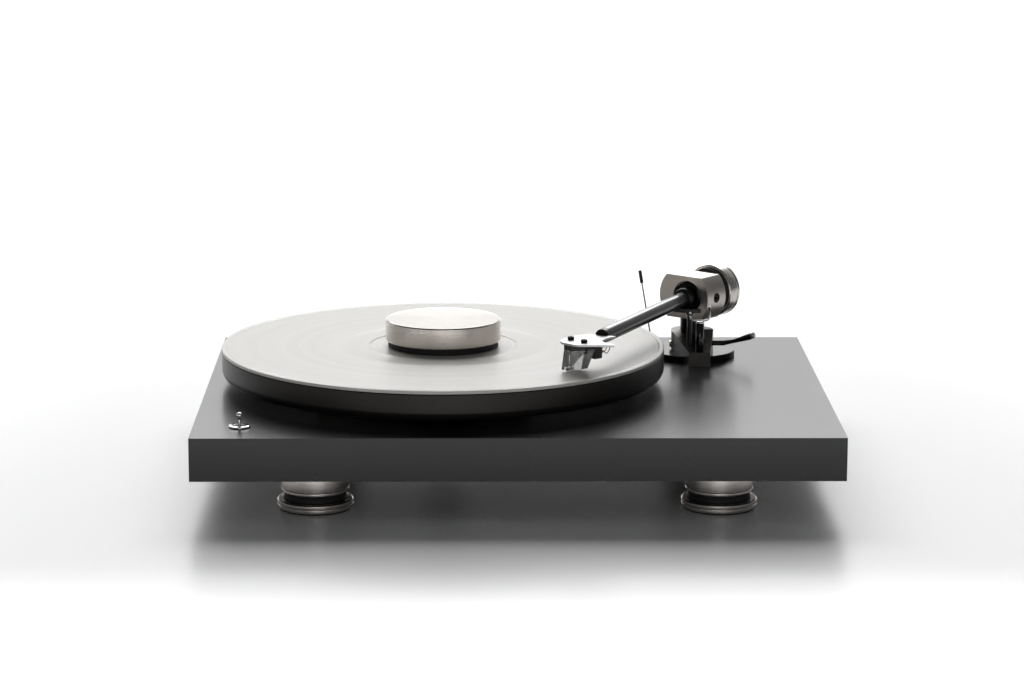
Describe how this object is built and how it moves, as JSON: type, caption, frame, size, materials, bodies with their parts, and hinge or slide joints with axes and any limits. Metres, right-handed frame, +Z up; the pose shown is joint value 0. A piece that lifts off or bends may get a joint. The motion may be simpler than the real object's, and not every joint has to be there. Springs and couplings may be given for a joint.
{
  "type": "turntable record player",
  "caption": "Flat-plinth belt-drive turntable with platter, mat, record puck, straight offset tonearm, cue lever and toggle switch",
  "frame": {"origin": "on the surface the feet stand on, under the centre of the plinth", "axes": "+X right along the plinth's front edge, +Y to the rear, +Z up"},
  "size_m": [0.415, 0.3231, 0.117],
  "materials": {
    "plinth": "satin black lacquer",
    "foot_studs": "plain",
    "foot_bodies": "fine turned satin nickel",
    "foot_dampers": "matte",
    "foot_bases": "fine turned satin nickel",
    "foot_pads": "matte",
    "bearing_housing": "turned",
    "bearing_bushes": "bored",
    "thrust_ball": "polished",
    "housing_nut": "plain",
    "motor_can": "drawn",
    "motor_plate": "pressed",
    "drive_belt": "ground flat",
    "circuit_board": "solder mask",
    "bottom_cover": "grained",
    "panel_screws": "zinc plated",
    "toggle_body": "moulded",
    "toggle_nut": "polished",
    "terminal_plate": "moulded",
    "phono_barrels": "gold plated",
    "phono_insulators": "moulded",
    "ground_post": "gold plated",
    "dc_socket": "moulded",
    "arm_base": "gloss black",
    "arm_base_screws": "zinc plated",
    "arm_mount": "dark anodised",
    "clamp_screw": "satin",
    "arm_pillar": "black anodised",
    "pillar_bearings": "ground",
    "rest_post": "gloss black",
    "rest_clip": "polished",
    "skate_stalk": "drawn",
    "skate_tip": "moulded",
    "motor_shaft": "ground",
    "pulley": "turned",
    "spindle": "ground",
    "subplatter": "moulded",
    "platter": "satin black anodised",
    "platter_mat": "fine grooved gloss",
    "puck_body": "fine turned satin nickel",
    "puck_base": "matte",
    "toggle_lever": "polished",
    "cue_lever": "satin black",
    "cue_tip": "satin",
    "lift_bar": "satin black",
    "pillar_spindle": "ground",
    "bearing_block": "bead-blasted nickel",
    "block_screws": "black oxide",
    "arm_gimbal": "black anodised",
    "arm_tube": "clear-coated carbon fibre",
    "shell_collar": "dark anodised",
    "headshell": "silver anodised",
    "cartridge_body": "moulded",
    "stylus_holder": "smoked clear",
    "cantilever": "drawn",
    "cartridge_screws": "black oxide",
    "cartridge_pins": "gold plated",
    "counterweight": "fine turned nickel",
    "weight_damper": "matte"
  },
  "bodies": {
    "base": {"plinth": "plinth", "foot_studs": "foot_studs", "foot_bodies": "foot_bodies", "foot_dampers": "foot_dampers", "foot_bases": "foot_bases", "foot_pads": "foot_pads", "bearing_housing": "bearing_housing", "bearing_bushes": "bearing_bushes", "thrust_ball": "thrust_ball", "housing_nut": "housing_nut", "motor_can": "motor_can", "motor_plate": "motor_plate", "drive_belt": "drive_belt", "circuit_board": "circuit_board", "bottom_cover": "bottom_cover", "panel_screws": "panel_screws", "toggle_body": "toggle_body", "toggle_nut": "toggle_nut", "terminal_plate": "terminal_plate", "phono_barrels": "phono_barrels", "phono_insulators": "phono_insulators", "ground_post": "ground_post", "dc_socket": "dc_socket", "arm_base": "arm_base", "arm_base_screws": "arm_base_screws", "arm_mount": "arm_mount", "clamp_screw": "clamp_screw", "arm_pillar": "arm_pillar", "pillar_bearings": "pillar_bearings", "rest_post": "rest_post", "rest_clip": "rest_clip", "skate_stalk": "skate_stalk", "skate_tip": "skate_tip"},
    "rotor": {"motor_shaft": "motor_shaft", "pulley": "pulley"},
    "turning_platter": {"spindle": "spindle", "subplatter": "subplatter", "platter": "platter", "platter_mat": "platter_mat"},
    "puck": {"puck_body": "puck_body", "puck_base": "puck_base"},
    "switch_lever": {"toggle_lever": "toggle_lever"},
    "cue": {"cue_lever": "cue_lever", "cue_tip": "cue_tip"},
    "lift": {"lift_bar": "lift_bar"},
    "swing_block": {"pillar_spindle": "pillar_spindle", "bearing_block": "bearing_block", "block_screws": "block_screws"},
    "arm": {"arm_gimbal": "arm_gimbal", "arm_tube": "arm_tube", "shell_collar": "shell_collar", "headshell": "headshell", "cartridge_body": "cartridge_body", "stylus_holder": "stylus_holder", "cantilever": "cantilever", "cartridge_screws": "cartridge_screws", "cartridge_pins": "cartridge_pins"},
    "balance_weight": {"counterweight": "counterweight", "weight_damper": "weight_damper"}
  },
  "joints": [
    {"name": "platter_spin", "type": "hinge", "parent": "base", "child": "turning_platter", "pos_m": [-0.0485, 0.0131, 0], "axis": [0, 0, -1], "continuous": true},
    {"name": "pulley_spin", "type": "hinge", "parent": "base", "child": "rotor", "pos_m": [-0.12554, -0.02282, 0], "axis": [0, 0, -1], "continuous": true},
    {"name": "puck_lift", "type": "slide", "parent": "turning_platter", "child": "puck", "axis": [0, 0, 1], "range_m": [0, 0.025]},
    {"name": "switch_turn", "type": "hinge", "parent": "base", "child": "switch_lever", "pos_m": [-0.1775, -0.1278, 0.0559], "axis": [1, 0, 0], "range_deg": [-12, 12]},
    {"name": "arm_swing", "type": "hinge", "parent": "base", "child": "swing_block", "pos_m": [0.12672, 0.09799, 0.0983], "axis": [0, 0, 1], "range_deg": [-20, 29.07]},
    {"name": "arm_lift", "type": "hinge", "parent": "swing_block", "child": "arm", "pos_m": [0.12672, 0.09799, 0.0983], "axis": [-0.7604, 0.6494, 0], "range_deg": [0, 2.6]},
    {"name": "cue_turn", "type": "hinge", "parent": "base", "child": "cue", "pos_m": [0.12672, 0.08799, 0.0654], "axis": [-1, 0, 0], "range_deg": [0, 70]},
    {"name": "lift_rise", "type": "slide", "parent": "base", "child": "lift", "axis": [0, 0, 1], "range_m": [0, 0.0013]},
    {"name": "weight_slide", "type": "slide", "parent": "arm", "child": "balance_weight", "axis": [0.6494, 0.7604, 0], "range_m": [-0.002, 0.004]}
  ],
  "couplings": [
    {"joint": "pulley_spin", "follows": "platter_spin", "ratio": 10},
    {"joint": "cue_turn", "follows": "arm_lift", "ratio": 26.151},
    {"joint": "lift_rise", "follows": "arm_lift", "m_per_rad": 0.026}
  ]
}
